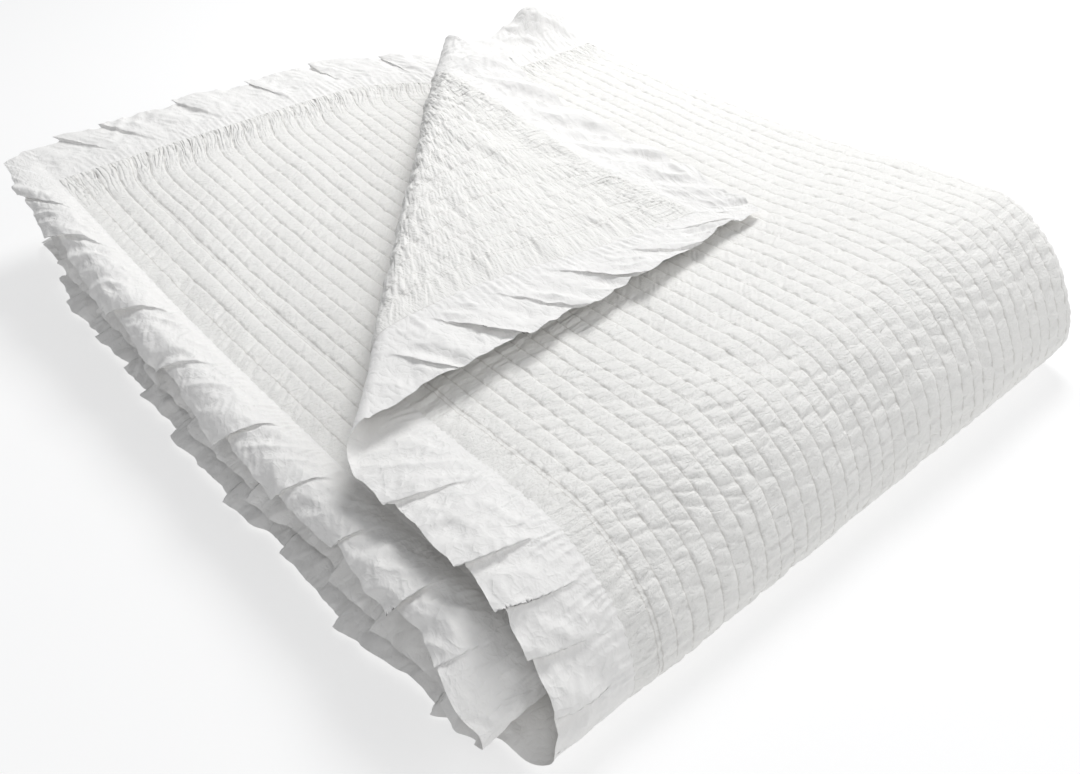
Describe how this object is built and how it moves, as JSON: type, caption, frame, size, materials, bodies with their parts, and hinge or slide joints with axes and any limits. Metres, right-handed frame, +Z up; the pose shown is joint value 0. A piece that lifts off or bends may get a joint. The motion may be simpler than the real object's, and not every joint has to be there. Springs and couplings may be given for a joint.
{
  "type": "quilted coverlet with gathered ruffle, folded in quarters",
  "caption": "White channel-quilted cotton coverlet with a gathered ruffle on every edge, folded in quarters with the top layer's corner turned back.",
  "frame": {"origin": "under the middle of the folded stack, on the surface it lies on", "axes": "+Z up, +Y along the stitched channels away from the big front fold, +X across the channels from the ruffled side towards the side folds"},
  "size_m": [1.124, 1.4248, 0.2808],
  "materials": {
    "quilted_cotton": "matt washed cotton, quilted over a thin wadding",
    "cotton_voile": "matt thin cotton, gathered"
  },
  "bodies": {
    "root": {"quilted_panel": "quilted_cotton", "ruffle_side_outer": "cotton_voile", "ruffle_side_inner": "cotton_voile", "ruffle_end_upper": "cotton_voile", "ruffle_end_lower": "cotton_voile"}
  },
  "joints": []
}
